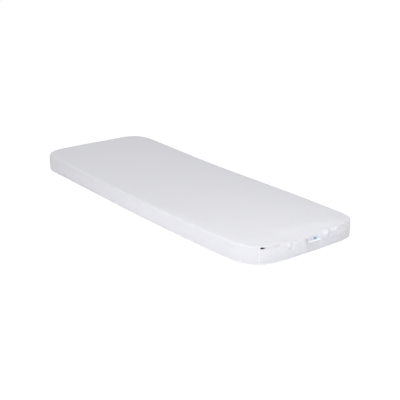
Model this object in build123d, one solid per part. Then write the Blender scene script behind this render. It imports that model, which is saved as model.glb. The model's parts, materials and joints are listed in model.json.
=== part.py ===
from build123d import *
import os
from math import degrees, radians, sin, cos

os.makedirs("parts", exist_ok=True)

# Trolley-size pressure relief mattress: a zoned foam core in a knitted inner sleeve, inside a
# wipe-clean cover whose foot end opens with a zip.
# Frame: millimetres, origin at the centre of the underside, +X to the foot end, +Z up.

# ---- Overall form ---------------------------------------------------------------------
LENGTH = 1950.0          # along X
WIDTH = 700.0            # along Y
HEIGHT = 90.0            # along Z
CORNER_R = 160.0         # plan radius of the four corners
TOP_ROLL_R = 4.5         # rolled edge of the top panel
BASE_ROLL_R = 8.0        # rolled edge of the base
DISH_LENGTH = 95.0       # the top panel starts to fall this far from the foot end
DISH_DEPTH = 9.0         # and has fallen this much at the middle of the foot edge

# ---- Cover ----------------------------------------------------------------------------
COVER_T = 0.8            # coated stretch fabric of the top and the border
BASE_T = 1.2             # heavier coated fabric of the base
BASE_RIM = 10.0          # height to which the base is turned up round the outline
SOFT_GAP = 0.2           # slack between one soft layer and the next
SEAM_ANGLE = 33.3        # place of the two upright seams on the foot corners, from +X
SEAM_WIDTH = 8.0
SEAM_PROUD = 0.5         # how far the welded seam tape stands off the cover

# ---- Zip ------------------------------------------------------------------------------
ZIP_SLOT = 8.0           # gap between the two cover edges that the zip closes
TAPE_T = 0.6
TAPE_EDGE = 2.9          # from the zip's middle line to the corded edge of each tape
TAPE_LAND = 11.0         # width of the lower tape
TAPE_UNDER = 5.2         # how far the upper tape reaches in under the top panel
TOOTH_PITCH = 5.0
TOOTH_DEPTH = 2.4        # through the tape
TOOTH_ROOT = 2.2         # width along the zip at the tape
TOOTH_TIP = 1.7          # width along the zip at the tip
TOOTH_REACH = 1.1        # past the zip's middle line
TOOTH_SEAT = 0.05        # between a tooth and the edge of its tape
ZIP_RECESS = 0.1         # teeth lie this far inside the face of the cover
STOP_LENGTH = 1.4
FLAP_T = 0.8             # rain flap over the foot run of the zip
FLAP_BELOW = 8.0         # its free edge, below the zip's middle line
FLAP_ABOVE = 5.2         # its welded edge, above the zip's middle line
FLAP_OFF = 0.15          # it lies this far off the cover
FLAP_START = 12.0        # from the end of the near corner to the start of the flap

# ---- Slider and pull ------------------------------------------------------------------
SLIDER_LENGTH = 12.0
SLIDER_HEIGHT = 7.8
SLIDER_PLATE = 1.1
PLATE_CORNER_R = 1.4
SLIDER_PLAY = 0.4        # between the teeth and the slider's plates
FLANGE_T = 0.6
FLANGE_PLAY = 0.25       # between the flanges and the tape
WEDGE_LENGTH = 3.0
WEDGE_HEIGHT = 2.8
STOP_PLAY = 0.3          # between the closed slider and the end stops
CROWN_WIDTH = 1.8
CROWN_LENGTH = 4.6
CROWN_WALL = 0.8
PULL_LENGTH = 12.5
PULL_WIDTH = 4.8
PULL_T = 0.9
PULL_CORNER_R = 1.6
PULL_PIN_R = 0.5
PULL_PLAY = 0.2          # round the pull's pin, under the crown
PULL_ARM = 1.1           # width of the two arms beside the crown
PULL_WINDOW = 3.0        # from the pin to the far end of the opening in the pull

# ---- Care label -----------------------------------------------------------------------
LABEL_WIDTH = 76.0
LABEL_DROP = 22.0
LABEL_T = 0.5
LABEL_TILT = 42.0        # it stands out this far below the level
LABEL_OFF = 0.4          # between the face of the flap and the label's sewn edge
LABEL_SHIFT = 21.0       # along the foot edge from its middle
LABEL_CORNER_R = 2.0

# ---- Core -----------------------------------------------------------------------------
SLEEVE_T = 0.6           # knitted fire-retardant sleeve
ZIP_ROOM = 5.0           # the core is this much shorter at the foot, behind the zip
FOAM_BASE_T = 28.0
RAIL_W = 60.0            # firm edge rails
RAIL_T = 34.0
HEAD_ZONE = 330.0
TORSO_ZONE = 620.0
LEG_ZONE = 500.0
GROOVE_W = 4.0
GROOVE_DEPTH = 22.0
HEAD_CELL = 105.0
TORSO_CELL = 98.0
LEG_CELL = 110.0
HEEL_CELL = 92.0

# ---- Places worked out from the sizes above -------------------------------------------
FOOT_X = LENGTH / 2
CORNER_X = LENGTH / 2 - CORNER_R
CORNER_Y = WIDTH / 2 - CORNER_R
TOP_SEAM_Z = HEIGHT - TOP_ROLL_R
ZIP_Z = TOP_SEAM_Z - ZIP_SLOT / 2
TAPE_OUT = -COVER_T - SOFT_GAP
TAPE_IN = TAPE_OUT - TAPE_T
SLEEVE_SIDE = BASE_T + SOFT_GAP
SLEEVE_TOP = COVER_T + SOFT_GAP
CORE_SIDE = SLEEVE_SIDE + SLEEVE_T + SOFT_GAP
CORE_TOP = SLEEVE_TOP + SLEEVE_T + SOFT_GAP
CORE_FOOT_X = FOOT_X - ZIP_ROOM - CORE_SIDE
RAIL_BOTTOM = CORE_SIDE + FOAM_BASE_T
RAIL_TOP = RAIL_BOTTOM + RAIL_T
SEAM_HALF = degrees(SEAM_WIDTH / 2 / CORNER_R)
ZIP_END = SEAM_ANGLE - SEAM_HALF
STOP_DEG = degrees(STOP_LENGTH / CORNER_R)
SLIDER_DEG = ZIP_END - STOP_DEG - degrees((STOP_PLAY + SLIDER_LENGTH / 2) / CORNER_R)
OUTER_FACE = -ZIP_RECESS + SLIDER_PLAY
INNER_FACE = -ZIP_RECESS - TOOTH_DEPTH - SLIDER_PLAY
PLATE_TOP = OUTER_FACE + SLIDER_PLATE
PIN_X = PLATE_TOP + PULL_PLAY + PULL_PIN_R
CROWN_UNDER = PIN_X + PULL_PIN_R + PULL_PLAY
LABEL_X = FOOT_X + FLAP_OFF + FLAP_T + LABEL_OFF
LABEL_Z = ZIP_Z - DISH_DEPTH
FAR = 3 * LENGTH         # size of cutting solids that only have to be large


# ---- Forms shared by several pieces ---------------------------------------------------
def dish(depth):
    """Large cylinder that hollows the top panel towards the middle of the foot edge."""
    radius = (CORNER_Y**2 + DISH_DEPTH**2) / (2 * DISH_DEPTH)
    tilt = degrees(DISH_DEPTH / DISH_LENGTH)
    roller = Pos(0, 0, radius) * Rotation(0, 90, 0) * Cylinder(radius + depth, FAR)
    return Pos(FOOT_X - DISH_LENGTH, 0, HEIGHT) * Rotation(0, tilt, 0) * roller


def outer_form():
    """Outside of the mattress, with its rolled edges and the dish at the foot."""
    block = extrude(RectangleRounded(LENGTH, WIDTH, CORNER_R), HEIGHT)
    block = fillet(block.edges().group_by(Axis.Z)[-1], TOP_ROLL_R)
    block = fillet(block.edges().group_by(Axis.Z)[0], BASE_ROLL_R)
    return block - dish(0)


def inner_form(side, bottom, top, foot=0.0):
    """The same form drawn in by a depth at its sides, base, top and foot, its edges bevelled
    along the chords of the rolled edges."""
    plan = RectangleRounded(LENGTH - 2 * side - foot, WIDTH - 2 * side, CORNER_R - side)
    block = Pos(-foot / 2, 0, bottom) * extrude(plan, HEIGHT - bottom - top)
    block = chamfer(block.edges().group_by(Axis.Z)[-1], TOP_ROLL_R - side)
    block = chamfer(block.edges().group_by(Axis.Z)[0], BASE_ROLL_R - side)
    return block - dish(top)


def layer(low, high):
    """Everything between two heights."""
    return Pos(0, 0, (low + high) / 2) * Box(FAR, FAR, high - low)


def foot_sector(angle):
    """Upright prism that holds the foot end between the same angle on both corners."""
    reach = 2 * CORNER_R
    out_x = CORNER_X + reach * cos(radians(angle))
    out_y = CORNER_Y + reach * sin(radians(angle))
    corners = [(CORNER_X, -CORNER_Y), (out_x, -out_y), (out_x, out_y), (CORNER_X, CORNER_Y)]
    return extrude(make_face(Polyline(*corners, close=True)), 2 * HEIGHT)


def dip_curve(height):
    """Line across the foot wall, level at both corners and dipping with the top panel."""
    ends = [(-CORNER_Y, height), (0, height - DISH_DEPTH), (CORNER_Y, height)]
    return Spline(*ends, tangents=[(1, 0), (1, 0)])


def foot_strip(low, high, inner, outer):
    """Strip along the straight foot wall, between two lines beside the zip's middle line."""
    under = dip_curve(ZIP_Z + low)
    over = dip_curve(ZIP_Z + high)
    ends = Line(under @ 0, over @ 0) + Line(under @ 1, over @ 1)
    wall = Plane((FOOT_X + inner, 0, 0), x_dir=(0, 1, 0), z_dir=(1, 0, 0))
    return wall * extrude(make_face(under + over + ends), outer - inner)


def corner_strip(low, high, inner, outer, start, end):
    """The same strip round a foot corner, from one angle to another."""
    face_out = CenterArc((0, 0), CORNER_R + outer, start, end - start)
    face_in = CenterArc((0, 0), CORNER_R + inner, start, end - start)
    ends = Line(face_out @ 0, face_in @ 0) + Line(face_out @ 1, face_in @ 1)
    side = -1 if start < 0 else 1
    ring = extrude(make_face(face_out + face_in + ends), high - low)
    return Pos(CORNER_X, side * CORNER_Y, ZIP_Z + low) * ring


def zip_strip(low, high, inner, outer, angle):
    """Strip along the whole zip: near corner, foot wall and far corner."""
    near = corner_strip(low, high, inner, outer, -angle, 0)
    far = corner_strip(low, high, inner, outer, 0, angle)
    return near + foot_strip(low, high, inner, outer) + far


def on_corner(angle, height=ZIP_Z):
    """Place on a foot corner: local x points out of the wall, y along it, z up."""
    side = -1 if angle < 0 else 1
    return Pos(CORNER_X, side * CORNER_Y, height) * Rotation(0, 0, angle) * Pos(CORNER_R, 0, 0)


# ---- Cover ----------------------------------------------------------------------------
def cover_skin():
    return outer_form() - inner_form(COVER_T, COVER_T, COVER_T)


def below_zip():
    """Foot wall from the zip slot down."""
    return zip_strip(-ZIP_Z, -ZIP_SLOT / 2, -2 * BASE_ROLL_R, BASE_ROLL_R, SEAM_ANGLE)


def zip_slot():
    half = ZIP_SLOT / 2
    return zip_strip(-half, half, -2 * BASE_ROLL_R, BASE_ROLL_R, SEAM_ANGLE)


def cover_top(skin):
    """Top panel with its rolled edge, down to the seam and, at the foot, to the zip."""
    above_seam = (skin & layer(TOP_SEAM_Z, 2 * HEIGHT)) - foot_sector(SEAM_ANGLE)
    foot = (skin & layer(BASE_RIM, 2 * HEIGHT)) & foot_sector(SEAM_ANGLE)
    return above_seam + (foot - zip_slot() - below_zip())


def border_main(skin):
    """Side wall along the long sides and round the head."""
    wall = skin & layer(BASE_RIM, TOP_SEAM_Z)
    return wall - foot_sector(SEAM_ANGLE + SEAM_HALF)


def border_foot(skin):
    """Foot wall below the zip, between the two upright seams."""
    wall = (skin & layer(BASE_RIM, TOP_SEAM_Z)) & foot_sector(SEAM_ANGLE - SEAM_HALF)
    return wall & below_zip()


def base_panel():
    skin = outer_form() - inner_form(BASE_T, BASE_T, BASE_T)
    return skin & layer(-HEIGHT, BASE_RIM)


def corner_seam(side):
    """Upright welded seam that closes the gap between the two border panels."""
    start = side * SEAM_ANGLE - SEAM_HALF
    low = BASE_RIM - ZIP_Z
    high = TOP_SEAM_Z - ZIP_Z
    return corner_strip(low, high, -COVER_T, SEAM_PROUD, start, start + 2 * SEAM_HALF)


# ---- Zip ------------------------------------------------------------------------------
def zip_tape_upper():
    """Tape from its corded edge up behind the top panel, following the rolled edge."""
    film = inner_form(*[-TAPE_OUT] * 3) - inner_form(*[-TAPE_IN] * 3)
    return film & zip_strip(TAPE_EDGE, HEIGHT, -TAPE_UNDER, 0, ZIP_END)


def zip_tape_lower():
    return zip_strip(-TAPE_EDGE - TAPE_LAND, -TAPE_EDGE, TAPE_IN, TAPE_OUT, ZIP_END)


def tooth(row):
    """One moulded tooth in its own frame; row +1 hangs from the upper tape, -1 stands up."""
    root_z = row * (TAPE_EDGE - TOOTH_SEAT)
    tip_z = -row * TOOTH_REACH
    outline = Polyline(
        (-TOOTH_ROOT / 2, root_z), (TOOTH_ROOT / 2, root_z),
        (TOOTH_TIP / 2, tip_z), (-TOOTH_TIP / 2, tip_z), close=True)
    facing_out = Plane((-ZIP_RECESS - TOOTH_DEPTH, 0, 0), x_dir=(0, 1, 0), z_dir=(1, 0, 0))
    return facing_out * extrude(make_face(outline), TOOTH_DEPTH)


def chain_places():
    """Places of successive teeth, half a pitch apart, along the closed chain."""
    clear = WEDGE_LENGTH + STOP_PLAY + TOOTH_ROOT / 2
    start = -SLIDER_DEG + degrees((clear - SLIDER_LENGTH / 2) / CORNER_R)
    step = degrees(TOOTH_PITCH / 2 / CORNER_R)
    last = ZIP_END - 2 * STOP_DEG
    places = []
    for n in range(1, int(-start / step) + 1):
        places.insert(0, on_corner(-n * step))
    run = dip_curve(ZIP_Z)
    count = int(run.length / (TOOTH_PITCH / 2))
    for n in range(count + 1):
        spot = run @ (n / count)
        lean = run % (n / count)
        places.append(Pos(FOOT_X, spot.X, spot.Y) * Rotation(degrees(lean.Y), 0, 0))
    places += [on_corner(n * step) for n in range(1, int(last / step))]
    return places


def zip_teeth(places, row):
    offset = 0 if row > 0 else 1
    return [place * tooth(row) for place in places[offset::2]]


def zip_end_stops():
    """Two stops on the tape edges at the near end and one box stop at the far end."""
    reach = TAPE_EDGE - TOOTH_SEAT
    near_deg = -ZIP_END + STOP_DEG / 2
    centre_x = -ZIP_RECESS - TOOTH_DEPTH / 2
    height = reach - WEDGE_HEIGHT / 2
    clip = Box(TOOTH_DEPTH, STOP_LENGTH, height)
    stops = []
    for row in (1, -1):
        stops.append(on_corner(near_deg) * Pos(centre_x, 0, row * (reach - height / 2)) * clip)
    box_stop = Box(TOOTH_DEPTH, STOP_LENGTH, 2 * reach)
    stops.append(on_corner(ZIP_END - STOP_DEG) * Pos(centre_x, 0, 0) * box_stop)
    return stops


def zip_flap():
    """Rain flap over the zip along the foot wall and round the far corner."""
    outer = FLAP_OFF + FLAP_T
    run = foot_strip(-FLAP_BELOW, FLAP_ABOVE, FLAP_OFF, outer)
    bend = corner_strip(-FLAP_BELOW, FLAP_ABOVE, FLAP_OFF, outer, 0, ZIP_END)
    bare = Pos(FOOT_X, -CORNER_Y - FAR / 2 + FLAP_START, ZIP_Z) * Box(FAR, FAR, FAR)
    return (run + bend) - bare


# ---- Slider and pull ------------------------------------------------------------------
def plate_with_flanges(face, reach, side):
    """One slider plate, with the two flanges that turn in over the edges of the tapes."""
    plate_x = face + side * SLIDER_PLATE / 2
    plate = Pos(plate_x, 0, 0) * Box(SLIDER_PLATE, SLIDER_LENGTH, SLIDER_HEIGHT)
    plate = fillet(plate.edges().filter_by(Axis.X), PLATE_CORNER_R)
    depth = abs(face - reach)
    length = SLIDER_LENGTH - 2 * PLATE_CORNER_R
    for row in (1, -1):
        z = row * (SLIDER_HEIGHT - FLANGE_T) / 2
        plate += Pos((face + reach) / 2, 0, z) * Box(depth, length, FLANGE_T)
    return plate


def zip_slider():
    """Two plates round the chain, a wedge that parts the tapes and a crown for the pull."""
    outer = plate_with_flanges(OUTER_FACE, TAPE_OUT + FLANGE_PLAY, 1)
    inner = plate_with_flanges(INNER_FACE, TAPE_IN - FLANGE_PLAY, -1)
    span = OUTER_FACE - INNER_FACE
    wedge_y = (WEDGE_LENGTH - SLIDER_LENGTH) / 2
    wedge = Pos((OUTER_FACE + INNER_FACE) / 2, wedge_y, 0) * Box(span, WEDGE_LENGTH, WEDGE_HEIGHT)
    crown_height = CROWN_UNDER + CROWN_WALL - PLATE_TOP
    crown = Box(crown_height, CROWN_LENGTH, CROWN_WIDTH)
    crown = Pos(PLATE_TOP + crown_height / 2, 0, 0) * fillet(
        crown.edges().filter_by(Axis.Z).group_by(Axis.X)[-1], CROWN_WALL)
    gap_height = CROWN_UNDER - PLATE_TOP
    gap = Box(gap_height, CROWN_LENGTH - 2 * CROWN_WALL, 2 * CROWN_WIDTH)
    crown -= Pos(PLATE_TOP + gap_height / 2, 0, 0) * gap
    return on_corner(-SLIDER_DEG) * (outer + inner + wedge + crown)


def zip_pull():
    """Flat tab with a window over the crown; its pin turns under the crown."""
    tab = Pos(0, PULL_LENGTH / 2, 0) * Box(PULL_T, PULL_LENGTH, PULL_WIDTH)
    tab = fillet(tab.edges().filter_by(Axis.X).group_by(Axis.Y)[-1], PULL_CORNER_R)
    window = Box(2 * PULL_T, PULL_WINDOW, PULL_WIDTH - 2 * PULL_ARM)
    tab -= Pos(0, PULL_WINDOW / 2, 0) * window
    pin = Cylinder(PULL_PIN_R, PULL_WIDTH)
    return on_corner(-SLIDER_DEG) * Pos(PIN_X, 0, 0) * (tab + pin)


# ---- Care label -----------------------------------------------------------------------
def care_label():
    """Blank tag sewn to the face of the flap, standing out from the foot wall."""
    tag = extrude(RectangleRounded(LABEL_DROP, LABEL_WIDTH, LABEL_CORNER_R), LABEL_T)
    tag = Pos(LABEL_DROP / 2, 0, -LABEL_T / 2) * tag
    return Pos(LABEL_X, LABEL_SHIFT, LABEL_Z) * Rotation(0, LABEL_TILT, 0) * tag


# ---- Core -----------------------------------------------------------------------------
def core_form():
    return inner_form(CORE_SIDE, CORE_SIDE, CORE_TOP, ZIP_ROOM)


def inner_sleeve():
    outer = inner_form(SLEEVE_SIDE, SLEEVE_SIDE, SLEEVE_TOP, ZIP_ROOM)
    depth = SLEEVE_SIDE + SLEEVE_T
    return outer - inner_form(depth, depth, SLEEVE_TOP + SLEEVE_T, ZIP_ROOM)


def pocket(low, high, play=0.0):
    """Space inside the rails, drawn in by a play, between two heights."""
    inset = CORE_SIDE + RAIL_W + play
    plan = RectangleRounded(LENGTH - 2 * inset - ZIP_ROOM, WIDTH - 2 * inset, CORNER_R - inset)
    return Pos(-ZIP_ROOM / 2, 0, low) * extrude(plan, high - low)


def rail_ring(core):
    ring = core & layer(RAIL_BOTTOM + SOFT_GAP, RAIL_TOP)
    return ring - pocket(0, HEIGHT)


def between(start, end):
    """Everything between two places along the mattress."""
    return Pos((start + end) / 2, 0, 0) * Box(end - start, FAR, FAR)


def zone(start, end, cell):
    """Foam insert cut by grooves into free-standing cells."""
    insert = pocket(RAIL_BOTTOM + SOFT_GAP, RAIL_TOP, SOFT_GAP) & between(start, end)
    box = insert.bounding_box()
    groove_z = box.max.Z - GROOVE_DEPTH / 2
    across = max(1, round(box.size.X / cell))
    along = max(1, round(box.size.Y / cell))
    grooves = []
    for n in range(1, across):
        x = box.min.X + n * box.size.X / across
        grooves.append(Pos(x, 0, groove_z) * Box(GROOVE_W, FAR, GROOVE_DEPTH))
    for n in range(1, along):
        y = box.min.Y + n * box.size.Y / along
        grooves.append(Pos(box.center().X, y, groove_z) * Box(FAR, GROOVE_W, GROOVE_DEPTH))
    return insert - grooves


def zones():
    head_x = -FOOT_X + CORE_SIDE + RAIL_W
    torso_x = head_x + HEAD_ZONE
    leg_x = torso_x + TORSO_ZONE
    heel_x = leg_x + LEG_ZONE
    return {
        "zone_head": zone(head_x, torso_x - SOFT_GAP, HEAD_CELL),
        "zone_torso": zone(torso_x, leg_x - SOFT_GAP, TORSO_CELL),
        "zone_legs": zone(leg_x, heel_x - SOFT_GAP, LEG_CELL),
        "zone_heels": zone(heel_x, FOOT_X, HEEL_CELL),
    }


def core_pieces():
    core = core_form()
    ring = rail_ring(core)
    head = ring & between(-LENGTH, -CORNER_X)
    foot = ring & between(CORNER_X, LENGTH)
    sides = ring & between(-CORNER_X + SOFT_GAP, CORNER_X - SOFT_GAP)
    near, far = sides.solids().sort_by(Axis.Y)
    return {
        "inner_sleeve": inner_sleeve(),
        "foam_base": core & layer(0, RAIL_BOTTOM),
        "rail_head": head,
        "rail_foot": foot,
        "rail_near": near,
        "rail_far": far,
        "foam_topper": core & layer(RAIL_TOP + SOFT_GAP, HEIGHT),
    }


# ---- All nodes ------------------------------------------------------------------------
def build():
    skin = cover_skin()
    places = chain_places()
    nodes = {
        "cover_top": cover_top(skin),
        "border_main": border_main(skin),
        "border_foot": border_foot(skin),
        "base_panel": base_panel(),
        "corner_seam_near": corner_seam(-1),
        "corner_seam_far": corner_seam(1),
        "zip_tape_upper": zip_tape_upper(),
        "zip_tape_lower": zip_tape_lower(),
        "zip_teeth_upper": zip_teeth(places, 1),
        "zip_teeth_lower": zip_teeth(places, -1),
        "zip_end_stops": zip_end_stops(),
        "zip_flap": zip_flap(),
        "zip_slider": zip_slider(),
        "zip_pull": zip_pull(),
        "care_label": care_label(),
    }
    nodes.update(core_pieces())
    nodes.update(zones())
    return nodes


for name, shape in build().items():
    piece = Compound(children=shape) if isinstance(shape, list) else shape
    export_step(piece, f"parts/{name}.step")
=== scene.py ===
import json
import math

import bpy
import numpy as np
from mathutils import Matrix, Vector
from mathutils.kdtree import KDTree


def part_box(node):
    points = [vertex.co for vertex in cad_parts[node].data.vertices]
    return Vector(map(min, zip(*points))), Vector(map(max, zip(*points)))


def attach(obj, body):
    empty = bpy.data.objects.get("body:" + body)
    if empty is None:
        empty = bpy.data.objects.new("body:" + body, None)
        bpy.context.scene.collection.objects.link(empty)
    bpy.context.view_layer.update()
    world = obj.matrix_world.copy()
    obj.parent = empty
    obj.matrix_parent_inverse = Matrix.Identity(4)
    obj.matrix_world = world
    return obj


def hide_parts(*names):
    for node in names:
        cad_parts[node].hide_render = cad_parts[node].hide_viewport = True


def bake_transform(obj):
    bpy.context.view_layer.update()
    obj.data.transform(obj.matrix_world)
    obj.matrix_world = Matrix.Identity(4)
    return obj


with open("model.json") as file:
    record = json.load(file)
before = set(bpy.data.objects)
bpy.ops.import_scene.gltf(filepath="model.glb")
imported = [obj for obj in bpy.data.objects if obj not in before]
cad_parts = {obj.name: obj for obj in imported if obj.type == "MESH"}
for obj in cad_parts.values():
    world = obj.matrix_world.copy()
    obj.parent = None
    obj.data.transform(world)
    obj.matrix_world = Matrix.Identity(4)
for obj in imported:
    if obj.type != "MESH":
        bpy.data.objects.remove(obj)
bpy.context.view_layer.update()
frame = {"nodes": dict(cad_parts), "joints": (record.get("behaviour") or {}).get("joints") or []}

# Pressure relief mattress: cover, base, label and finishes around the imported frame. Metres.
# +X is the foot end, -Y the near long side, +Z up.

# ---- Places read from the frame --------------------------------------------------------
base_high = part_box("base_panel")[1]
top_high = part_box("cover_top")[1]
near_low, near_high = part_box("corner_seam_near")
slider_low, slider_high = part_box("zip_slider")
label_low, label_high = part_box("care_label")

HALF_LENGTH = base_high.x
HALF_WIDTH = base_high.y
HEIGHT = top_high.z
RIM_Z = base_high.z
SEAM_TOP_Z = near_high.z
LENGTH = 2 * HALF_LENGTH
ZIP_Z = (slider_low.z + slider_high.z) / 2

JOINTS = {joint["name"]: joint for joint in frame["joints"]}
CORNER_X = JOINTS["slider_travel"]["pos_m"][0]
CORNER_R = HALF_LENGTH - CORNER_X
FLAT_Y = HALF_WIDTH - CORNER_R
seam_along = (near_low.x + near_high.x) / 2 - CORNER_X
seam_across = (near_low.y + near_high.y) / 2 + FLAT_Y
SEAM_ANGLE = math.atan2(-seam_across, seam_along)
SEAM_RUN = FLAT_Y + CORNER_R * SEAM_ANGLE

# ---- Form of the cover -----------------------------------------------------------------
ROLL_LONG = 0.014        # rolled edge along the sides and the head
ROLL_FOOT = HEIGHT - SEAM_TOP_Z
WELD_TURN = 50           # the top panel's weld runs round the roll at this angle
WELD_DEEP = 0.0006
ROLL_TURNS = (15, 30, 42, 47, WELD_TURN, 53, 60, 75, 90)   # rings of the roll, in degrees
SLOPE_REACH = 0.115      # the top panel falls towards the foot from here
SLOPE_WIDE = 0.0045      # fall over the whole width of the foot
SLOPE_DEEP = 0.0060      # and more in its middle
DEEP_HALF = 0.17
WIDE_START = (-0.180, -0.095)   # the wide fall sets in between these places along the foot
WIDE_END = (0.20, 0.27)         # and ends between these
SLOPE_BEND = 1.2         # above 1 the fall starts gently
SLOPE_PAST = 1.2         # it goes on as far as this share of its reach
TOP_SAG = 0.003          # the foam sits a little lower in the middle
NEAR_DROP = 0.0035       # fall of the panel along the near side
NEAR_REACH = 0.060
NEAR_PLACE = 0.52
NEAR_SPREAD = 0.26
SLOT_HALF = 0.0029       # zip slot above and below the zip's middle line
SLOT_DEEP = 0.0042
SLOT_LIP = 0.15          # share of that at the lips of the slot
LIP_OUT = 0.0046         # the flap's edge stands off the wall below it
LIP_ROOT = 0.35          # share of that at the flap's upper end
LIP_UNDER = 0.92         # and on the wall just below the flap
LIP_PARTS = (0.25, 0.5, 0.75, 0.92, 1.0)   # rings of the flap, as shares of its height
LIP_THICK = 0.0016
LIP_STEP = 0.0003        # heights of the small rings that turn the lip inwards
SLOT_STEP = 0.0004
LIP_BELOW_ROLL = 0.0002  # the lip stays at least this far below the roll
PLAIN_BELOW = 0.004      # without flap or zip its rings lie this far below the roll
WALL_BELOW = 0.0010      # the plain wall starts this far below the slot
WALL_RINGS = 14
WALL_EASE = 1.3
BASE_ROLL = 0.0032
WALL_FULL = 0.0010       # slight fullness of the side wall
CORNER_FULL = 0.0022     # and more of it beside the near foot corner
CORNER_REACH = 0.05
FULL_TOP = 0.076
FLAP_START = -FLAT_Y + 0.010
HOLD_LOW = 0.030         # the wall is slack below here, and keeps the zip's line above
HOLD_HIGH = 0.062

# Stretches along the foot: from, to, and how softly they start and end.
ZIP_SLOT = (-SEAM_RUN + 0.0035, FLAP_START - 0.002, 0.0015, 0.006)
FLAP_LIP = (FLAP_START - 0.002, SEAM_RUN - 0.014, 0.007, 0.010)
BARE_ZIP = (-SEAM_RUN - 0.010, FLAP_START + 0.020, 0.015, 0.020)
UNDER_FLAP = (FLAP_START + 0.010, FLAT_Y + 0.090, 0.015, 0.030)
BY_LABEL = (label_low.y - 0.010, label_high.y + 0.008, 0.008, 0.008)
TAPE_HIDDEN = (FLAP_START + 0.016, SEAM_RUN - 0.025, 0.006, 0.010)
TIGHT_ROLL = (-SEAM_RUN - 0.05, SEAM_RUN + 0.10, 0.05, 0.04)

# Places where the cover stands out or is pulled in: x, y, reach, outward.
FULL_PLACES = (
    (0.08, -0.35, 0.42, 0.0085),      # near side full in the middle
    (-0.80, -0.35, 0.28, -0.0060),    # pulled in before the near head corner
    (-0.925, -0.295, 0.07, 0.0105),   # near head corner full
    (-0.18, 0.35, 0.42, -0.0135),     # far side slack in the middle
    (0.80, 0.35, 0.12, -0.0040),      # and more so before the far foot corner
    (0.93, 0.30, 0.045, 0.0110),      # far foot corner full
    (0.97, 0.19, 0.075, -0.0075),     # foot wall slack beside it
    (0.975, -0.12, 0.08, 0.0042),     # foot wall full between the near corner and the label
    (-0.93, 0.30, 0.05, 0.0090),      # far head corner full
    (-0.975, 0.12, 0.13, -0.0070),    # head wall slack beside it
)
NEAR_PULL = (0.85, -0.34, 0.16, -0.0100)   # pulled in as far as the near foot seam
NEAR_PULL_END = (-70, -38)                 # where it ends, in degrees round the corner

# Lower edge of the flap, which lies in soft folds: place along the foot, and height.
# The places were first measured off the photograph and then adjusted.
CREASES = (
    (-0.184, 0.0820), (-0.160, 0.0670), (-0.150, 0.0640), (-0.128, 0.0590), (-0.108, 0.0680),
    (-0.087, 0.0680), (-0.056, 0.0645), (0.000, 0.0640), (0.070, 0.0668), (0.102, 0.0680),
    (0.121, 0.0740), (0.134, 0.0800), (0.143, 0.0790), (0.158, 0.0755), (0.175, 0.0770),
    (0.190, 0.0810), (0.202, 0.0855), (0.230, 0.0850),
)

# Folds of the fabric at the foot: start, end, half width, height at either end.
# Their places too started from points measured off the photograph. In order: two broad folds
# of the panel, one where the flap starts, the near pucker, the dip beside it, a ridge below
# the flap, the far pucker, the fold along the far corner, and two short ones low on the wall.
FOLDS = (
    ((0.905, 0.140, 0.088), (0.925, 0.232, 0.089), 0.0360, 0.0034, 0.0030),
    ((0.840, -0.040, 0.088), (0.885, 0.235, 0.089), 0.0600, 0.0032, 0.0036),
    ((0.975, -0.172, 0.088), (0.984, -0.160, 0.070), 0.0110, 0.0016, 0.0016),
    ((0.984, -0.130, 0.080), (0.984, -0.127, 0.064), 0.0065, 0.0095, 0.0115),
    ((0.984, -0.103, 0.069), (0.984, -0.102, 0.062), 0.0085, -0.0065, -0.0065),
    ((0.984, -0.082, 0.067), (0.984, -0.035, 0.061), 0.0070, 0.0018, 0.0018),
    ((0.965, 0.122, 0.085), (0.980, 0.109, 0.072), 0.0130, 0.0050, 0.0125),
    ((0.976, 0.171, 0.083), (0.966, 0.230, 0.088), 0.0090, 0.0100, 0.0070),
    ((0.975, 0.190, 0.055), (0.975, 0.184, 0.044), 0.0080, 0.0026, 0.0026),
    ((0.975, 0.226, 0.056), (0.975, 0.222, 0.046), 0.0080, 0.0026, 0.0026),
)

FOLD_CORE = 0.030        # folds lift away from a line this far inside the wall
FOLD_LOW = 0.055         # and at this height
FOLD_REACH = 0.37        # there are none further than this from the foot end
FOLD_FADE = 0.10


def smooth(low, high, value):
    """0 below low, 1 above high, eased between."""
    t = np.clip((value - low) / (high - low), 0.0, 1.0)
    return t * t * (3 - 2 * t)


def bell(distance, width):
    """1 at no distance, falling off over about this width."""
    return np.exp(-(distance / width) ** 2)


def between(low, high, soft_low, soft_high, run):
    """1 from low to high, eased at either end."""
    return smooth(low - soft_low, low + soft_low, run) * (1 - smooth(high - soft_high, high + soft_high, run))


def eased(places, values, at):
    """Curve through a few places, level at each."""
    out = np.full_like(at, values[0], dtype=float)
    for k in range(len(places) - 1):
        out += (values[k + 1] - values[k]) * smooth(places[k], places[k + 1], at)
    return out


# ---- Outline of the cover --------------------------------------------------------------
RATE_SAMPLES = 4000


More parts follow.
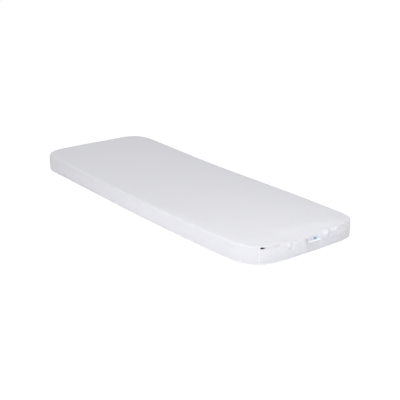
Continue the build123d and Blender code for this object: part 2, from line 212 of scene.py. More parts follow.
class Plan:
    """Rounded outline divided for a mesh, counter-clockwise from the near head corner."""

    def __init__(self, end_step, side_step, fine_step, fine_reach=0.26):
        arc = CORNER_R * math.pi / 4
        side_length = 2 * (arc + CORNER_X)
        end_length = 2 * (arc + FLAT_Y)
        self.side = divided(side_length, side_step, fine_step, fine_reach)
        self.end = np.linspace(0, 1, int(round(end_length / end_step)) + 1)
        near = edge_points(self.side * side_length, arc, CORNER_X)
        foot = edge_points(self.end * end_length, arc, FLAT_Y)
        near = np.stack([near[0], -FLAT_Y - near[1], near[2], -near[3]], 1)
        foot = np.stack([CORNER_X + foot[1], foot[0], foot[3], foot[2]], 1)
        far = (near * [1, -1, 1, -1])[::-1]
        head = (foot * [-1, 1, -1, 1])[::-1]
        loop = np.concatenate([near[:-1], foot[:-1], far[:-1], head[:-1]])
        self.points, self.normals = loop[:, :2], loop[:, 2:]
        self.cells_u, self.cells_v = len(self.side) - 1, len(self.end) - 1
        self.count = len(loop)
        self.run = foot_run(self.points, self.normals)

    def wall(self, out, height):
        """Places round the outline at a height, so far out from the slack wall there."""
        return on_wall(self.points, self.normals, self.run, out, height)


def divided(length, step, fine_step, fine_reach):
    """Places from 0 to 1 along a side, closer together near its foot end."""
    fine = np.linspace(0, length, RATE_SAMPLES)
    rate = 1.0 / np.where(length - fine < fine_reach, fine_step, step)
    total = np.concatenate([[0], np.cumsum((rate[1:] + rate[:-1]) / 2 * np.diff(fine))])
    count = int(round(total[-1]))
    return np.interp(np.linspace(0, total[-1], count + 1), total, fine) / length


def edge_points(run, arc, straight_half):
    """Along and across one edge from corner middle to corner middle, then the normal."""
    start, end = arc, run[-1] - arc
    angle = np.where(run < start, (run - start) / CORNER_R, 0.0)
    angle = np.where(run > end, (run - end) / CORNER_R, angle)
    along = np.clip(run - start, 0, end - start) - straight_half + CORNER_R * np.sin(angle)
    return along, CORNER_R * np.cos(angle), np.sin(angle), np.cos(angle)


def foot_run(points, normals):
    """Place along the foot: Y on the straight wall, arc length beyond it on the corners."""
    angle = np.arctan2(normals[:, 1], np.maximum(normals[:, 0], 0))
    side = np.where(points[:, 1] < 0, -1.0, 1.0)
    straight = np.abs(angle) < 1e-6
    run = np.where(straight, points[:, 1], side * FLAT_Y + CORNER_R * angle)
    return np.where(normals[:, 0] > 1e-6, run, side * (FLAT_Y + CORNER_R * math.pi / 2))


def fullness(points, place):
    x, y, reach, amount = place
    return amount * bell(np.hypot(points[:, 0] - x, points[:, 1] - y), reach)


def beside_label(run):
    """1 where the sewn label holds the fabric flat against the foam."""
    return between(*BY_LABEL, run)


def on_wall(points, normals, run, out, height):
    """Slack wall: full or pulled in low down, but on the zip's own line high at the foot."""
    turn = np.degrees(np.arctan2(normals[:, 1], normals[:, 0]))
    slack = sum(fullness(points, place) for place in FULL_PLACES)
    slack = slack + fullness(points, NEAR_PULL) * (1 - smooth(*NEAR_PULL_END, turn))
    held = slack * (1 - between(*BARE_ZIP, run))
    held = held - np.minimum(held, 0) * between(*UNDER_FLAP, run)
    shift = slack + (held - slack) * smooth(HOLD_LOW, HOLD_HIGH, height)
    part = np.clip((height - RIM_Z) / (FULL_TOP - RIM_Z), 0, 1)
    full = WALL_FULL * (1 - beside_label(run)) + CORNER_FULL * bell(run + FLAT_Y, CORNER_REACH)
    shift = shift + full * np.sin(math.pi * part)
    place = points + normals * (shift + out)[:, None]
    return np.column_stack([place, np.broadcast_to(height, len(points))])


# ---- Height of the top panel -----------------------------------------------------------
def foot_drop(x, y):
    """How far the top panel has fallen at a place near the foot."""
    wide = smooth(*WIDE_START, y) * (1 - smooth(*WIDE_END, y))
    deep = np.clip(1 - (y / DEEP_HALF) ** 2, 0, 1)
    along = np.clip((x - (HALF_LENGTH - SLOPE_REACH)) / SLOPE_REACH, 0, SLOPE_PAST)
    return (SLOPE_WIDE * wide + SLOPE_DEEP * deep**SLOPE_BEND) * along**SLOPE_BEND


def near_drop(x, y):
    """The panel also falls a little along the near side, most towards the foot."""
    inward = np.clip(1 - (y + HALF_WIDTH) / NEAR_REACH, 0, 1)
    return NEAR_DROP * bell(x - NEAR_PLACE, NEAR_SPREAD) * inward**2


def top_height(x, y):
    sag = TOP_SAG * np.clip(1 - (x / HALF_LENGTH) ** 2, 0, 1)
    return HEIGHT - sag - foot_drop(x, y) - near_drop(x, y)


# ---- Cover mesh ------------------------------------------------------------------------
def cover_rings(plan, edge_z, roll):
    """Rings of the cover wall from the rolled edge down, as (outward, height) pairs."""
    run = plan.run
    in_zip = between(*ZIP_SLOT, run)
    in_flap = between(*FLAP_LIP, run)
    crease_z = eased(*zip(*CREASES), run)
    lip_out = LIP_OUT * in_flap * (1 - beside_label(run))
    root_out = LIP_ROOT * lip_out
    deep = SLOT_DEEP * in_zip
    rings = []
    for degrees in ROLL_TURNS:
        turn = math.radians(degrees)
        sunk = WELD_DEEP if degrees == WELD_TURN else 0.0
        out = -roll * (1 - math.sin(turn)) + root_out * math.sin(turn) ** 2 - sunk * math.sin(turn)
        rings.append((out, edge_z - roll * (1 - math.cos(turn)) - sunk * math.cos(turn)))
    roll_end = rings[-1][1]
    plain_z = HEIGHT - ROLL_LONG - PLAIN_BELOW
    lip_z = plain_z + (ZIP_Z + SLOT_HALF - plain_z) * in_zip + (crease_z - plain_z) * in_flap
    lip_z = np.minimum(lip_z, roll_end - LIP_BELOW_ROLL)
    for part in LIP_PARTS:
        rings.append((root_out + (lip_out - root_out) * part, roll_end + (lip_z - roll_end) * part))
    under = lip_out * LIP_UNDER
    low_z = lip_z - LIP_THICK - (2 * SLOT_HALF - LIP_THICK) * in_zip
    rings.append(((lip_out + under) / 2 - deep * SLOT_LIP, lip_z - LIP_STEP * (1 - in_zip)))
    rings.append((under - deep, lip_z - 2 * LIP_STEP * (1 - in_zip)))
    rings.append((under - deep, low_z))
    rings.append((under - deep * SLOT_LIP, low_z - SLOT_STEP))
    start = low_z - WALL_BELOW
    for part in np.linspace(0, 1, WALL_RINGS):
        rings.append((under * (1 - part) ** WALL_EASE, start + (RIM_Z - start) * part))
    return rings


def panel_points(plan, edge):
    """Inner points of the top panel, laid out between its four edges."""
    nu, nv = plan.cells_u, plan.cells_v
    near = edge[: nu + 1]
    foot = edge[nu : nu + nv + 1]
    far = edge[nu + nv : 2 * nu + nv + 1][::-1]
    head = np.concatenate([edge[2 * nu + nv :], edge[:1]])[::-1]
    u = plan.side[:, None, None]
    v = plan.end[None, :, None]
    plane = (1 - v) * near[:, None] + v * far[:, None] + (1 - u) * head[None] + u * foot[None]
    corners = (1 - u) * (1 - v) * near[0] + u * (1 - v) * near[-1] + (1 - u) * v * far[0] + u * v * far[-1]
    return plane - corners


def edge_index(plan, index):
    """Panel points round its edge, in the order of the outline."""
    return np.concatenate([index[:-1, 0], index[-1, :-1], index[:0:-1, -1], index[0, :0:-1]])


def ring_faces(above, below):
    after = np.roll(np.arange(len(above)), -1)
    return np.stack([above, below, below[after], above[after]], 1).tolist()


def cover_mesh(plan, rings_of):
    """Cover from the top panel down to the base rim, closed underneath."""
    roll = ROLL_LONG + (ROLL_FOOT - ROLL_LONG) * between(*TIGHT_ROLL, plan.run)
    edge = plan.wall(-roll, HEIGHT)[:, :2]
    edge_z = top_height(edge[:, 0], edge[:, 1])
    plane = panel_points(plan, edge)
    z = top_height(plane[..., 0], plane[..., 1])
    verts = [np.concatenate([plane, z[..., None]], 2).reshape(-1, 3)]
    index = np.arange(z.size).reshape(z.shape)
    quads = np.stack([index[:-1, :-1], index[1:, :-1], index[1:, 1:], index[:-1, 1:]], -1)
    faces = quads.reshape(-1, 4).tolist()
    above = edge_index(plan, index)
    offset = z.size
    for out, height in rings_of(plan, edge_z, roll):
        verts.append(plan.wall(out, height))
        below = np.arange(offset, offset + plan.count)
        faces += ring_faces(above, below)
        above = below
        offset += plan.count
    faces.append(above[::-1].tolist())
    return np.concatenate(verts), faces


def mesh_object(name, verts, faces, body="mattress"):
    mesh = bpy.data.meshes.new(name)
    mesh.from_pydata(verts.tolist(), [], faces)
    mesh.update()
    obj = bpy.data.objects.new(name, mesh)
    bpy.context.scene.collection.objects.link(obj)
    for poly in mesh.polygons:
        poly.use_smooth = True
    if body:
        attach(obj, body)
    return obj


def fold_ways(points):
    """Direction in which the fabric folds at each point: up on the panel, out on the wall."""
    beyond = np.maximum(np.abs(points[:, 1]) - FLAT_Y, 0) * np.sign(points[:, 1])
    outward = np.column_stack([points[:, 0] - CORNER_X, beyond])
    reach = np.linalg.norm(outward, axis=1)
    depth = CORNER_R - FOLD_CORE - reach
    rise = np.maximum(points[:, 2] - FOLD_LOW, 0)
    out = np.maximum(-depth, 0) / np.maximum(reach, 1e-6)
    ways = np.column_stack([outward * out[:, None], rise])
    return ways / np.maximum(np.linalg.norm(ways, axis=1), 1e-6)[:, None]


def fold_heights(points, ways):
    """How far each point is lifted by the folds that pass beneath it."""
    lift = np.zeros(len(points))
    for start, end, width, first, last in FOLDS:
        a, b = np.array(start), np.array(end)
        along = np.clip((points - a) @ (b - a) / ((b - a) @ (b - a)), 0, 1)
        gap = points - a - along[:, None] * (b - a)
        gap -= ways * (gap * ways).sum(1, keepdims=True)
        lift += (first + (last - first) * along) * bell(np.linalg.norm(gap, axis=1), width)
    start_x = HALF_LENGTH - FOLD_REACH
    return lift * smooth(start_x, start_x + FOLD_FADE, points[:, 0])


def fold_fabric(obj):
    """Lift and sink the mesh where the fabric folds."""
    mesh = obj.data
    points = np.empty(len(mesh.vertices) * 3)
    mesh.vertices.foreach_get("co", points)
    points = points.reshape(-1, 3)
    ways = fold_ways(points)
    points += ways * fold_heights(points, ways)[:, None]
    mesh.vertices.foreach_set("co", points.ravel())
    mesh.update()


# ---- Cloth simulation: the stretch cover over its foam -----------------------------------
SIM_FRAMES = 20
SIM_PRESSURE = 4.0
SIM_SLACK = 0.001        # the fabric is cut larger than the foam by this share
SIM_GRIP = 0.35          # how firmly the foam holds the fabric's shape
SIM_CAP = 0.0020         # no point moves further than this
SIM_BLUR = 0.015         # the movement is evened out over about this distance
HELD_FOOT = near_low.x - 0.010   # the zip holds the fabric's line beyond here
FREE_REACH = 0.060       # the fabric is free this far from the zip's end, and half as far from the rim
SIM_NEIGHBOURS = 12      # each point takes its movement from this many points of the coarse cover
TRIAL_ROLL = 0.3         # where the coarse cover has its ring on the roll
TRIAL_PARTS = (0.3, 0.6, 0.85, 1.0)


def trial_rings(plan, edge_z, roll):
    """Few rings for the simulated cover: the roll, the wall and the rim."""
    rings = [(-TRIAL_ROLL * roll, edge_z - TRIAL_ROLL * roll), (0.0, edge_z - roll)]
    for part in TRIAL_PARTS:
        rings.append((0.0, edge_z - roll + (RIM_Z - edge_z + roll) * part))
    return rings


def freedom(points):
    """0 where the zip or the base rim holds the fabric, 1 well away from them."""
    from_foot = smooth(0, FREE_REACH, HELD_FOOT - points[:, 0])
    return from_foot * smooth(0, FREE_REACH / 2, points[:, 2] - RIM_Z)


def hold_points(obj, points):
    """Hold the fabric firmly where it is fixed and gently elsewhere."""
    group = obj.vertex_groups.new(name="held")
    for k, free in enumerate(freedom(points)):
        group.add([k], float(1 - (1 - SIM_GRIP) * free), "REPLACE")
    return group.name


def simulated_cover(plan):
    """Points of a coarse cover before the simulation, and how far each one moved."""
    points, faces = cover_mesh(plan, trial_rings)
    trial = mesh_object("cover_trial", points, faces, body=None)
    cloth = trial.modifiers.new("cloth", "CLOTH")
    settings = cloth.settings
    settings.quality = 6
    settings.mass = 0.25
    settings.bending_stiffness = 0.4
    settings.use_pressure = True
    settings.uniform_pressure_force = SIM_PRESSURE
    settings.shrink_min = -SIM_SLACK
    settings.effector_weights.gravity = 0
    settings.vertex_group_mass = hold_points(trial, points)
    cloth.point_cache.frame_start = 1
    cloth.point_cache.frame_end = SIM_FRAMES
    for number in range(1, SIM_FRAMES + 1):
        bpy.context.scene.frame_set(number)
    result = trial.evaluated_get(bpy.context.evaluated_depsgraph_get())
    moved = np.empty(len(points) * 3)
    result.data.vertices.foreach_get("co", moved)
    bpy.data.objects.remove(trial)
    bpy.context.scene.frame_set(1)
    return points, moved.reshape(-1, 3) - points


def settle_fabric(obj):
    """Carry the simulated movement of the coarse cover over to the cover's own mesh."""
    points, shift = simulated_cover(COARSE)
    length = np.linalg.norm(shift, axis=1, keepdims=True)
    shift = shift * SIM_CAP / np.maximum(length, SIM_CAP)
    tree = KDTree(len(points))
    for k, point in enumerate(points):
        tree.insert(point, k)
    tree.balance()
    free = freedom(np.array([vert.co for vert in obj.data.vertices]))
    for vert, share in zip(obj.data.vertices, free):
        near = tree.find_n(vert.co, SIM_NEIGHBOURS)
        weights = np.array([1 / (gap + SIM_BLUR) ** 2 for _, _, gap in near])
        move = weights @ shift[[k for _, k, _ in near]] / weights.sum()
        vert.co += Vector(move * share)
    obj.data.update()


FINE = Plan(end_step=0.003, side_step=0.012, fine_step=0.005)
COARSE = Plan(end_step=0.020, side_step=0.022, fine_step=0.020)
verts, faces = cover_mesh(FINE, cover_rings)
cover = mesh_object("cover", verts, faces)
settle_fabric(cover)
fold_fabric(cover)
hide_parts("cover_top", "border_main", "border_foot", "zip_flap", "inner_sleeve", "foam_base",
            "foam_topper", "rail_near", "rail_far", "rail_head", "rail_foot", "zone_head",
            "zone_torso", "zone_legs", "zone_heels")


# ---- Base ------------------------------------------------------------------------------
BASE_LID_IN = 0.004      # the closed top of the base lies this far inside the wall
BASE_GAP = 0.0002        # its rim is this far below the cover's, and its corner as far inside
BASE_CORNER = 0.0008     # the wall of the base starts this far below the cover's rim
BASE_TURNS = 9
BASE_FLAT_IN = 0.02      # last ring of the flat underside


def base_mesh(plan):
    """Base of the cover: rim, rolled edge and flat underside, closed on top."""
    top = RIM_Z - BASE_GAP
    rings = [(-BASE_LID_IN, top), (-BASE_GAP, top), (0.0, RIM_Z - BASE_CORNER)]
    for turn in np.linspace(0, math.pi / 2, BASE_TURNS)[1:]:
        rings.append((-BASE_ROLL * (1 - math.cos(turn)), BASE_ROLL * (1 - math.sin(turn))))
    rings.append((-BASE_FLAT_IN, 0.0))
    verts = []
    faces = [list(range(plan.count))]
    for k, (out, height) in enumerate(rings):
        verts.append(plan.wall(out, height))
        if k:
            above = np.arange(plan.count) + (k - 1) * plan.count
            faces += ring_faces(above, above + plan.count)
    faces.append(list(range(len(rings) * plan.count - 1, (len(rings) - 1) * plan.count - 1, -1)))
    return np.concatenate(verts), faces


verts, faces = base_mesh(FINE)
base = mesh_object("base", verts, faces)
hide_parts("base_panel")


# ---- Welded seams on the foot corners ----------------------------------------------------
SEAM_HALF = 0.0040
SEAM_PROUD = 0.0006
SEAM_INNER = 0.0008      # its back lies this far inside the wall
SEAM_SHORT = 0.0004      # and its top this far below the rolled edge
SEAM_ROWS = 24

# Section of the tape from its edge to its middle: share of the half width, and height.
SEAM_SECTION = ((1.0, -0.0004), (0.97, 0.6 * SEAM_PROUD), (0.8, SEAM_PROUD), (0.3, 0.8 * SEAM_PROUD))


def seam_mesh(side):
    """Upright tape over the joint of the two border panels, following the slack wall."""
    share, proud = np.array(SEAM_SECTION).T
    across = np.concatenate([-share, share[::-1]]) * SEAM_HALF
    proud = np.concatenate([proud, proud[::-1]])
    inward = np.full(len(proud), -SEAM_INNER)
    angle = side * SEAM_ANGLE + across / CORNER_R
    normals = np.stack([np.cos(angle), np.sin(angle)], 1)
    points = normals * CORNER_R + [CORNER_X, side * FLAT_Y]
    run = side * FLAT_Y + CORNER_R * angle
    rows = []
    for z in np.linspace(BASE_ROLL, SEAM_TOP_Z - SEAM_SHORT, SEAM_ROWS):
        outer = on_wall(points, normals, run, proud, z)
        inner = on_wall(points, normals, run, inward, z)
        rows.append(np.concatenate([outer, inner[::-1]]))
    loop = len(rows[0])
    faces = [list(range(loop))[::-1], list(range((len(rows) - 1) * loop, len(rows) * loop))]
    for k in range(len(rows) - 1):
        below = np.arange(loop) + k * loop
        faces += ring_faces(below + loop, below)
    return np.concatenate(rows), faces


seams = []
for side, node in ((-1, "corner_seam_near"), (1, "corner_seam_far")):
    verts, faces = seam_mesh(side)
    seam = mesh_object(node.replace("corner_", "") + "_tape", verts, faces)
    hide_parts(node)
    seams.append(seam)


# ---- Zip tapes -------------------------------------------------------------------------
TAPE_TUCK = 0.006        # under the flap the tapes lie this much further in and lower


def tape_mesh(node):
    """Zip tape, tucked in below the panel's rolled edge where the flap covers it."""
    source = frame["nodes"][node]
    points = np.array([source.matrix_world @ vert.co for vert in source.data.vertices])
    points -= np.outer(between(*TAPE_HIDDEN, points[:, 1]), [TAPE_TUCK, 0, TAPE_TUCK])
    return points, [list(poly.vertices) for poly in source.data.polygons]


tapes = []
for node in ("zip_tape_upper", "zip_tape_lower"):
    verts, faces = tape_mesh(node)
    tape = mesh_object(node.replace("zip_", "") + "_fabric", verts, faces)
    for poly in tape.data.polygons:
        poly.use_smooth = False
    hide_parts(node)
    tapes.append(tape)


# ---- Care label ------------------------------------------------------------------------
LABEL_THICK = 0.0007
LABEL_FOLD = 0.0065      # the outer end is folded under and sewn
FOLD_THICK = 0.0019
LABEL_BEND = 12          # degrees that it droops from its root to its outer end
LABEL_WAVE = 0.0014      # its ends curl up, the near one more
LABEL_WIDTH = label_high.y - label_low.y
LABEL_Y = (label_high.y + label_low.y) / 2
LABEL_DEPTH = math.hypot(label_high.x - label_low.x, label_high.z - label_low.z)
LABEL_TILT = math.degrees(math.atan2(label_high.z - label_low.z, label_high.x - label_low.x))
LABEL_STEPS = 20
LABEL_COLUMNS = 33
LABEL_RAISE = 0.0006     # its root lies this far above the hinge
WAVE_TURN = 1.7          # half waves across its width
HEM_EASE = 0.05          # share of its depth over which the hem thickens
EDGE_START = 0.955       # the outer edge is rounded from here
EDGE_SHARE = 0.045
EDGE_THIN = 0.1          # down to this share of its thickness
MID_LIFT = 0.35          # share of the hem's extra thickness that lies above the tag
hinge = Vector(JOINTS["label_fold"]["pos_m"])

# Print on the label, and the painted highlight on its folded hem: along it from its root, and across it from
# its middle.
HEM_HIGHLIGHT_SPAN = (0.0159, 0.0300)
FIELD_SPAN = (0.0012, 0.0153)
FIELD_ACROSS = (-0.0075, 0.0390)
BLOCK_SPAN = (0.0025, 0.0139)
BLOCK_ACROSS = (0.0010, 0.0205)
WHOLE_WIDTH = (-0.1, 0.1)
PRINT_SOFT = 0.0004
HEM_HIGHLIGHT_COLOR = (0.86, 0.86, 0.88)
FIELD_COLOR = (0.62, 0.74, 0.86)
BLOCK_COLOR = (0.26, 0.31, 0.38)


def label_profile():
    """Section of the label from its root outwards, with the direction of its face."""
    x, z = hinge.x, hinge.z + LABEL_RAISE
    points = []
    for k in range(LABEL_STEPS + 1):
        part = k / LABEL_STEPS
        tilt = math.radians(LABEL_TILT + LABEL_BEND * (part - 0.5))
        points.append((part, x, z, math.sin(tilt), math.cos(tilt)))
        x += LABEL_DEPTH / LABEL_STEPS * math.cos(tilt)
        z -= LABEL_DEPTH / LABEL_STEPS * math.sin(tilt)
    return points


def label_mesh():
    """Thin tag with a soft wave across its width and a doubled outer edge."""
    across = np.linspace(-LABEL_WIDTH / 2, LABEL_WIDTH / 2, LABEL_COLUMNS)
    fold_start = 1 - LABEL_FOLD / LABEL_DEPTH
    upper, lower, places = [], [], []
    for part, x, z, face_x, face_z in label_profile():
        wave = LABEL_WAVE * part * (1 + np.cos((across / LABEL_WIDTH + 0.5) * WAVE_TURN * math.pi))
        doubled = smooth(fold_start, fold_start + HEM_EASE, part)
        past_edge = max(0.0, (part - EDGE_START) / EDGE_SHARE)
        rounded = math.sqrt(max(0.0, 1 - past_edge**2)) * (1 - EDGE_THIN) + EDGE_THIN
        thick = (LABEL_THICK + (FOLD_THICK - LABEL_THICK) * doubled) * rounded
        rise = wave + MID_LIFT * (thick - LABEL_THICK)
        upper.append(np.column_stack([x + face_x * rise, across + LABEL_Y, z + face_z * rise]))
        fall = rise - thick
        lower.append(np.column_stack([x + face_x * fall, across + LABEL_Y, z + face_z * fall]))
        places.append(np.column_stack([np.full_like(across, part * LABEL_DEPTH), across, 0 * across]))
    rows, columns = len(upper), LABEL_COLUMNS
    verts = np.concatenate([np.array(upper).reshape(-1, 3), np.array(lower).reshape(-1, 3)])
    grid = np.arange(rows * columns).reshape(rows, columns)
    top = np.stack([grid[:-1, :-1], grid[1:, :-1], grid[1:, 1:], grid[:-1, 1:]], -1).reshape(-1, 4)
    faces = top.tolist() + (top[:, ::-1] + rows * columns).tolist()
    loop = np.concatenate([grid[:-1, 0], grid[-1, :-1], grid[:0:-1, -1], grid[0, :0:-1]])
    faces += ring_faces(loop, loop + rows * columns)
    return verts, faces, np.array(places).reshape(-1, 3)


verts, faces, places = label_mesh()
label = mesh_object("label", verts, faces, body=None)
woven = label.data.attributes.new("woven_place", "FLOAT_VECTOR", "POINT")
woven.data.foreach_set("vector", np.concatenate([places, places]).ravel())
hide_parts("care_label")
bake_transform(label)


# ---- Materials -------------------------------------------------------------------------
WAVE_PERIOD = 0.314      # bands of the wave texture lie this far apart at scale 1


def new_material(name):
    mat = bpy.data.materials.new(name)
    mat.use_nodes = True
    nodes = mat.node_tree.nodes
    return mat, nodes, mat.node_tree.links, nodes["Principled BSDF"]


def noise(nodes, links, coord, scale, detail=3.0):
    tex = nodes.new("ShaderNodeTexNoise")
    tex.inputs["Scale"].default_value = scale
    tex.inputs["Detail"].default_value = detail
    links.new(coord.outputs["Object"], tex.inputs["Vector"])
    return tex.outputs["Fac"]


def varied_color(nodes, links, factor, color, spread):
    """Colour that drifts a little lighter and darker with factor."""
    ramp = nodes.new("ShaderNodeValToRGB")
    ramp.color_ramp.elements[0].position = 0.3
    ramp.color_ramp.elements[1].position = 0.7
    ramp.color_ramp.elements[0].color = (*[c * (1 - spread) for c in color], 1)
    ramp.color_ramp.elements[1].color = (*[min(1, c * (1 + spread)) for c in color], 1)
    links.new(factor, ramp.inputs["Fac"])
    return ramp.outputs["Color"]


def varied_value(nodes, links, factor, low, high):
    span = nodes.new("ShaderNodeMapRange")
    span.inputs["To Min"].default_value = low
    span.inputs["To Max"].default_value = high
    links.new(factor, span.inputs["Value"])
    return span.outputs["Result"]


def bump(nodes, links, height, depth, strength=1.0, under=None):
    node = nodes.new("ShaderNodeBump")
    node.inputs["Strength"].default_value = strength
    node.inputs["Distance"].default_value = depth
    links.new(height, node.inputs["Height"])
    if under:
        links.new(under, node.inputs["Normal"])
    return node.outputs["Normal"]


def knit(nodes, links, coord, pitch):
    """Small rounded cells, as fine as a knit's stitches."""
    tex = nodes.new("ShaderNodeTexVoronoi")
    tex.inputs["Scale"].default_value = 1.0 / pitch
    links.new(coord.outputs["Object"], tex.inputs["Vector"])
    return tex.outputs["Distance"]


def weave(nodes, links, coord, pitch, direction):
    tex = nodes.new("ShaderNodeTexWave")
    tex.bands_direction = direction
    tex.inputs["Scale"].default_value = WAVE_PERIOD / pitch
    tex.inputs["Distortion"].default_value = 0.6
    links.new(coord.outputs["Object"], tex.inputs["Vector"])
    return tex.outputs["Fac"]


def coated_fabric(name, color, rough, sheen):
    """Coated stretch fabric: fine knit under a satin film, faintly mottled and rippled."""
    mat, nodes, links, shader = new_material(name)
    coord = nodes.new("ShaderNodeTexCoord")
    mottle = noise(nodes, links, coord, scale=9.0, detail=4.0)
    links.new(varied_color(nodes, links, mottle, color, spread=0.008), shader.inputs["Base Color"])
    links.new(varied_value(nodes, links, mottle, rough - 0.05, rough + 0.06), shader.inputs["Roughness"])
    fine = bump(nodes, links, knit(nodes, links, coord, pitch=0.0016), depth=0.0002, strength=0.10)
    ripple = noise(nodes, links, coord, scale=38.0)
    rippled = bump(nodes, links, ripple, depth=0.0010, strength=0.10, under=fine)
    links.new(rippled, shader.inputs["Normal"])
    shader.inputs["Sheen Weight"].default_value = sheen
    shader.inputs["Specular IOR Level"].default_value = 0.35
    shader.inputs["Sheen Roughness"].default_value = 0.4
    return mat


def woven_tape(name, color, pitch, direction):
    """Flat woven tape with a visible rib."""
    mat, nodes, links, shader = new_material(name)
    coord = nodes.new("ShaderNodeTexCoord")
    mottle = noise(nodes, links, coord, scale=60.0)
    links.new(varied_color(nodes, links, mottle, color, spread=0.02), shader.inputs["Base Color"])
    links.new(varied_value(nodes, links, mottle, 0.6, 0.75), shader.inputs["Roughness"])
    rib = weave(nodes, links, coord, pitch, direction)
    links.new(bump(nodes, links, rib, depth=0.0002, strength=0.4), shader.inputs["Normal"])
    shader.inputs["Sheen Weight"].default_value = 0.2
    return mat


def moulded_plastic(name, color):
    mat, nodes, links, shader = new_material(name)
    coord = nodes.new("ShaderNodeTexCoord")
    grain = noise(nodes, links, coord, scale=400.0)
    links.new(varied_color(nodes, links, grain, color, spread=0.02), shader.inputs["Base Color"])
    links.new(varied_value(nodes, links, grain, 0.3, 0.42), shader.inputs["Roughness"])
    links.new(bump(nodes, links, grain, depth=0.0001, strength=0.3), shader.inputs["Normal"])
    return mat


def painted_metal(name, color):
    """Satin black paint on a small casting, worn a little paler on its high grain."""
    mat, nodes, links, shader = new_material(name)
    coord = nodes.new("ShaderNodeTexCoord")
    grain = noise(nodes, links, coord, scale=700.0)
    links.new(varied_color(nodes, links, grain, color, spread=0.25), shader.inputs["Base Color"])
    links.new(varied_value(nodes, links, grain, 0.38, 0.55), shader.inputs["Roughness"])
    links.new(bump(nodes, links, grain, depth=0.0001, strength=0.5), shader.inputs["Normal"])
    shader.inputs["Metallic"].default_value = 0.3
    return mat


def eased_step(nodes, links, value, edge, soft, below, above):
    """One number below an edge and another above it, eased between."""
    step = nodes.new("ShaderNodeMapRange")
    step.interpolation_type = "SMOOTHSTEP"
    step.inputs["From Min"].default_value = edge - soft
    step.inputs["From Max"].default_value = edge + soft
    step.inputs["To Min"].default_value = below
    step.inputs["To Max"].default_value = above
    links.new(value, step.inputs["Value"])
    return step.outputs[0]


def product(nodes, links, first, second):
    both = nodes.new("ShaderNodeMath")
    both.operation = "MULTIPLY"
    links.new(first, both.inputs[0])
    links.new(second, both.inputs[1])
    return both.outputs[0]


def inside(nodes, links, value, low, high, soft):
    """1 where value lies between low and high."""
    rise = eased_step(nodes, links, value, low, soft, below=0.0, above=1.0)
    fall = eased_step(nodes, links, value, high, soft, below=1.0, above=0.0)
    return product(nodes, links, rise, fall)


def block_mask(nodes, links, axes, along, across):
    """1 within a rectangle of the label."""
    in_length = inside(nodes, links, axes.outputs["X"], *along, PRINT_SOFT)
    in_width = inside(nodes, links, axes.outputs["Y"], *across, PRINT_SOFT)
    return product(nodes, links, in_length, in_width)


def mixed(nodes, links, factor, below, color):
    mix = nodes.new("ShaderNodeMix")
    mix.data_type = "RGBA"
    links.new(factor, mix.inputs["Factor"])
    links.new(below, mix.inputs["A"])
    mix.inputs["B"].default_value = (*color, 1)
    return mix.outputs["Result"]


def label_fabric(name, color):
    """Satin-woven tag with a plain printed block and a paler field, no wording."""
    mat, nodes, links, shader = new_material(name)
    coord = nodes.new("ShaderNodeTexCoord")
    place = nodes.new("ShaderNodeAttribute")
    place.attribute_name = "woven_place"
    axes = nodes.new("ShaderNodeSeparateXYZ")
    links.new(place.outputs["Vector"], axes.inputs[0])
    mottle = noise(nodes, links, coord, scale=120.0)
    ground = varied_color(nodes, links, mottle, color, spread=0.02)
    # The hem band is painted near white: a painted highlight for the light its folded edge catches.
    hem = block_mask(nodes, links, axes, HEM_HIGHLIGHT_SPAN, WHOLE_WIDTH)
    hem_highlighted = mixed(nodes, links, hem, ground, HEM_HIGHLIGHT_COLOR)
    field = block_mask(nodes, links, axes, FIELD_SPAN, FIELD_ACROSS)
    block = block_mask(nodes, links, axes, BLOCK_SPAN, BLOCK_ACROSS)
    tinted = mixed(nodes, links, field, hem_highlighted, FIELD_COLOR)
    printed = mixed(nodes, links, block, tinted, BLOCK_COLOR)
    links.new(printed, shader.inputs["Base Color"])
    rib = weave(nodes, links, coord, pitch=0.0006, direction="Y")
    links.new(bump(nodes, links, rib, depth=0.0001, strength=0.3), shader.inputs["Normal"])
    links.new(varied_value(nodes, links, mottle, 0.42, 0.55), shader.inputs["Roughness"])
    return mat


def finish_piece(obj, material):
    obj.data.materials.clear()
    obj.data.materials.append(material)


cover_material = coated_fabric("cover_fabric", (0.737, 0.7385, 0.780), rough=0.50, sheen=0.05)
# The base is painted paler than the cover: painted light that lifts the shade on its downturned rolled edge.
base_painted_light_material = coated_fabric("base_fabric", (0.765, 0.7665, 0.810), rough=0.55, sheen=0.05)
seam_material = woven_tape("seam_tape", (0.79, 0.79, 0.83), pitch=0.0012, direction="Z")
# The far tape is darker only to match the shade the photograph shows at that corner.
far_seam_material = woven_tape("seam_tape_far", (0.66, 0.66, 0.70), pitch=0.0012, direction="Z")
# The zip tape and teeth are painted paler than the cover: painted light that lifts the shade in the zip's
# slot.
zip_tape_painted_light_material = woven_tape("zip_tape", (0.93, 0.93, 0.95), pitch=0.0009, direction="Z")
zip_teeth_painted_light_material = moulded_plastic("zip_teeth", (0.93, 0.93, 0.95))
metal_material = painted_metal("slider_metal", (0.012, 0.012, 0.014))
label_material = label_fabric("label_fabric", (0.61, 0.60, 0.69))

finish_piece(cover, cover_material)
finish_piece(base, base_painted_light_material)
finish_piece(label, label_material)
finish_piece(seams[0], seam_material)
finish_piece(seams[1], far_seam_material)
for tape in tapes:
    finish_piece(tape, zip_tape_painted_light_material)
NODE_FINISH = {
    "zip_slider": metal_material,
    "zip_pull": metal_material,
    "zip_teeth_upper": zip_teeth_painted_light_material,
    "zip_teeth_lower": zip_teeth_painted_light_material,
    "zip_end_stops": metal_material,
}
for node, material in NODE_FINISH.items():
    finish_piece(frame["nodes"][node], material)


# ---- Stage, lights and camera ----------------------------------------------------------
FLOOR_SHADE = 0.12       # share of the object's shadow the floor shows
FLOOR_GLOW = 0.97        # brightness of the floor to the camera
FLOOR_LIFT = 0.12        # light the pale floor returns to the object
FLOOR_PALE = 0.8
FLOOR_SIZE = 60
FLOOR_GAP = 0.0005       # below the object
WORLD_SOFT = 0.27

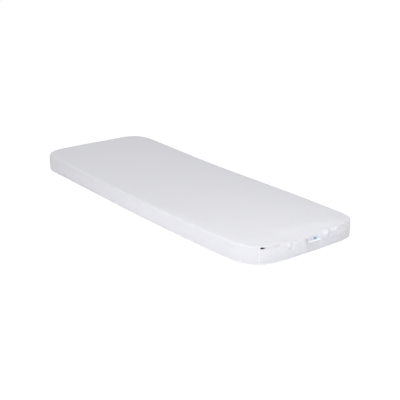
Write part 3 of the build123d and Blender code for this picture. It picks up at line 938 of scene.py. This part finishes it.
# Soft lights: place, aim, size, power. The powers were fitted to the photograph's shading
# and then rounded.
LAMPS = {
    "near_foot": ((2.6, -2.4, 1.5), (0.8, -0.2, 0.05), 1.4, 6.5),
    "near_foot_low": ((1.9, -2.2, 0.6), (0.8, -0.2, 0.05), 1.0, 2.5),
    "near_low": ((0.4, -2.6, 0.5), (0.3, -0.2, 0.05), 1.0, 22.5),
    "foot_graze": ((3.6, 0.0, 0.35), (0.9, 0.0, 0.05), 0.5, 14.5),
    "foot_top": ((1.7, 0.0, 2.2), (0.8, 0.0, 0.05), 1.4, 12.5),
    "foot_close": ((1.5, -0.3, 1.1), (0.8, 0.0, 0.05), 0.8, 4.0),
    "middle_top": ((0.0, 0.0, 3.2), (0.0, 0.0, 0.05), 2.4, 15.0),
    "head_top": ((-1.2, 0.0, 2.6), (-0.5, 0.0, 0.05), 2.0, 19.5),
}


def light_path_mix(nodes, links, plain, seen_shader):
    """Shader that shows one thing to the camera, mirrors and glass, another to the object."""
    path = nodes.new("ShaderNodeLightPath")
    seen = path.outputs["Is Camera Ray"]
    for kind in ("Is Glossy Ray", "Is Transmission Ray"):
        either = nodes.new("ShaderNodeMath")
        either.operation = "MAXIMUM"
        links.new(seen, either.inputs[0])
        links.new(path.outputs[kind], either.inputs[1])
        seen = either.outputs[0]
    mix = nodes.new("ShaderNodeMixShader")
    links.new(seen, mix.inputs["Fac"])
    links.new(plain, mix.inputs[1])
    links.new(seen_shader, mix.inputs[2])
    return mix.outputs[0]


def glowing_diffuse(nodes, links, shade, strength):
    diffuse = nodes.new("ShaderNodeBsdfDiffuse")
    diffuse.inputs["Color"].default_value = (shade, shade, shade, 1)
    glow = nodes.new("ShaderNodeEmission")
    glow.inputs["Color"].default_value = (1, 1, 1, 1)
    glow.inputs["Strength"].default_value = strength
    both = nodes.new("ShaderNodeAddShader")
    links.new(diffuse.outputs[0], both.inputs[0])
    links.new(glow.outputs[0], both.inputs[1])
    return both.outputs[0]


def floor_material():
    """White to the camera with a faint share of the object's shadow, pale to the object."""
    mat, nodes, links, _ = new_material("floor")
    nodes.clear()
    out = nodes.new("ShaderNodeOutputMaterial")
    seen = glowing_diffuse(nodes, links, FLOOR_SHADE, FLOOR_GLOW)
    plain = glowing_diffuse(nodes, links, FLOOR_PALE, FLOOR_LIFT)
    links.new(light_path_mix(nodes, links, plain, seen), out.inputs["Surface"])
    return mat


def studio_floor():
    bpy.ops.mesh.primitive_plane_add(size=FLOOR_SIZE, location=(0, 0, -FLOOR_GAP))
    floor = bpy.context.object
    floor.name = "floor"
    floor.data.materials.append(floor_material())


def studio_world():
    world = bpy.data.worlds.new("studio")
    world.use_nodes = True
    bpy.context.scene.world = world
    nodes, links = world.node_tree.nodes, world.node_tree.links
    nodes.clear()
    out = nodes.new("ShaderNodeOutputWorld")
    soft = nodes.new("ShaderNodeBackground")
    soft.inputs["Color"].default_value = (1, 1, 1, 1)
    soft.inputs["Strength"].default_value = WORLD_SOFT
    white = nodes.new("ShaderNodeBackground")
    white.inputs["Color"].default_value = (1, 1, 1, 1)
    white.inputs["Strength"].default_value = 1.0
    links.new(light_path_mix(nodes, links, soft.outputs[0], white.outputs[0]), out.inputs["Surface"])


def soft_light(name, place, aim, size, power):
    data = bpy.data.lights.new(name, "AREA")
    data.shape = "DISK"
    data.size = size
    data.energy = power
    lamp = bpy.data.objects.new(name, data)
    lamp.location = place
    lamp.rotation_mode = "QUATERNION"
    lamp.rotation_quaternion = (Vector(aim) - Vector(place)).to_track_quat("-Z", "Y")
    bpy.context.scene.collection.objects.link(lamp)


# Camera, fitted to the photograph's outline. It aims beside the object's middle.
VIEW_AZIMUTH = 52.96
VIEW_ELEVATION = 19.38
VIEW_DISTANCE = 2.6385 * LENGTH
AIM_RIGHT = -0.0431 * LENGTH
AIM_UP = 0.0285 * LENGTH
LENS = 85.64


def camera():
    a, e = math.radians(VIEW_AZIMUTH), math.radians(VIEW_ELEVATION)
    back = Vector((math.sin(a) * math.cos(e), -math.cos(a) * math.cos(e), math.sin(e)))
    right = Vector((math.cos(a), math.sin(a), 0))
    up = back.cross(right)
    aim = Vector((0, 0, HEIGHT / 2)) - right * AIM_RIGHT - up * AIM_UP
    data = bpy.data.cameras.new("camera")
    data.lens = LENS
    cam = bpy.data.objects.new("camera", data)
    cam.location = aim + back * VIEW_DISTANCE
    cam.rotation_mode = "QUATERNION"
    cam.rotation_quaternion = (-back).to_track_quat("-Z", "Y")
    bpy.context.scene.collection.objects.link(cam)
    bpy.context.scene.camera = cam


studio_floor()
studio_world()
for lamp, (place, aim, size, power) in LAMPS.items():
    soft_light(lamp, place, aim, size, power)
camera()
bpy.context.scene.view_settings.view_transform = "Standard"
